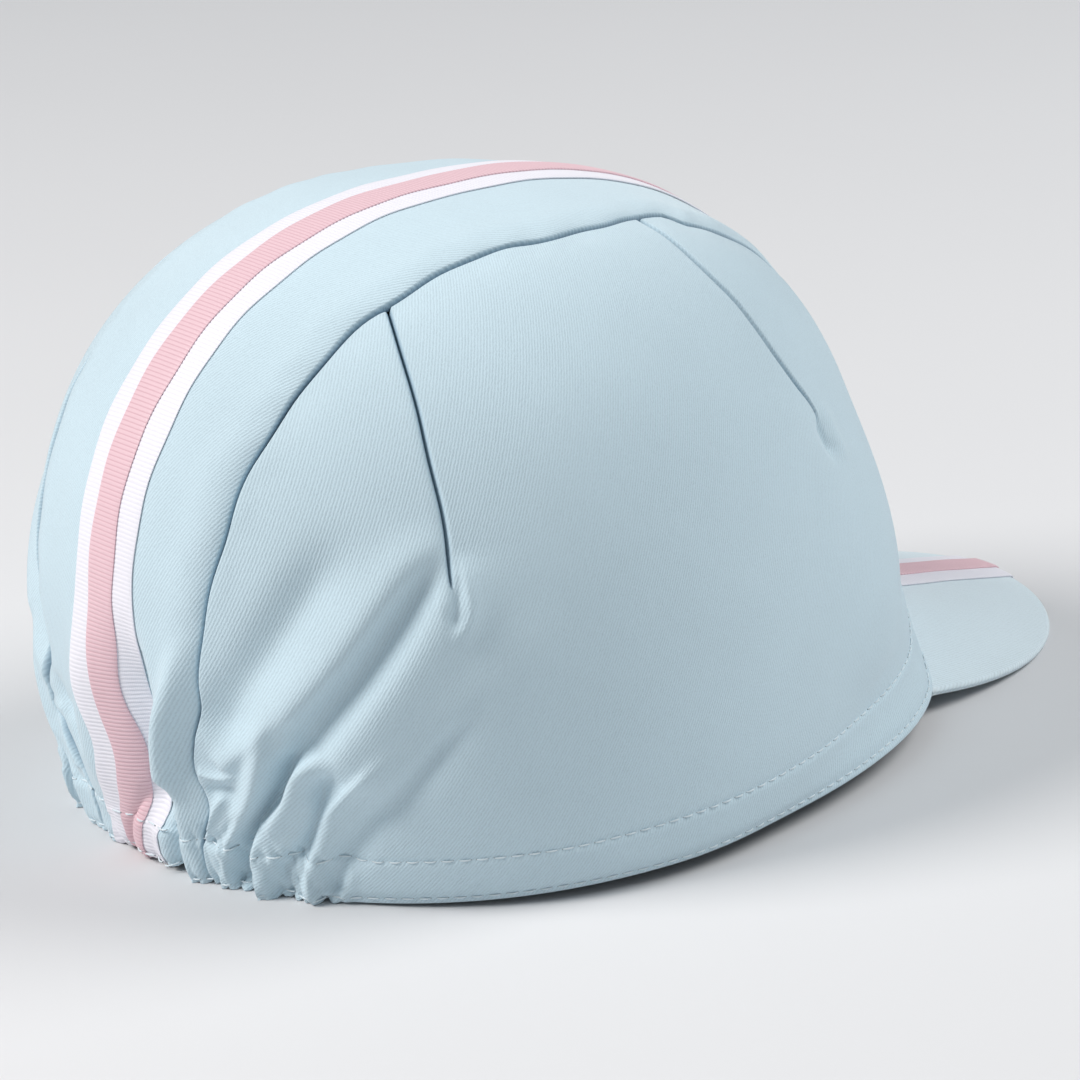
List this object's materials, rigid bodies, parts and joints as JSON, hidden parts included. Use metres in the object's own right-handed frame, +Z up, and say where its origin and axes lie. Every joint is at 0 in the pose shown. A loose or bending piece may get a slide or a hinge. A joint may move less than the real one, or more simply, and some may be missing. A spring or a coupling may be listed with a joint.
{
  "type": "cycling cap",
  "caption": "Soft cloth cycling cap: panelled round crown, short tipped-down peak, two-colour ribbon along the middle and a hem gathered at the back.",
  "frame": {"origin": "on the surface that the cap stands on, under the middle of the whole cap's box", "axes": "+Z up; -Y the way the peak points (the front), so +Y runs along the cap to its back and is its longest extent; the wearer's right hand is at -X; +Z is the shortest extent"},
  "size_m": [0.1612, 0.2542, 0.1304],
  "materials": {
    "twill": "matte cotton twill, pale sky blue",
    "peak_twill": "matte cotton twill over a stiff core, pale sky blue",
    "ribbon_white": "ribbed grosgrain, white",
    "ribbon_pink": "ribbed grosgrain, dusty pink"
  },
  "bodies": {
    "root": {"crown_center_panel": "twill", "side_panel_right": "twill", "side_panel_left": "twill", "crown_ribbon_white": "ribbon_white", "crown_ribbon_pink": "ribbon_pink", "peak": "peak_twill", "peak_ribbon_white": "ribbon_white", "peak_ribbon_pink": "ribbon_pink"}
  },
  "joints": []
}
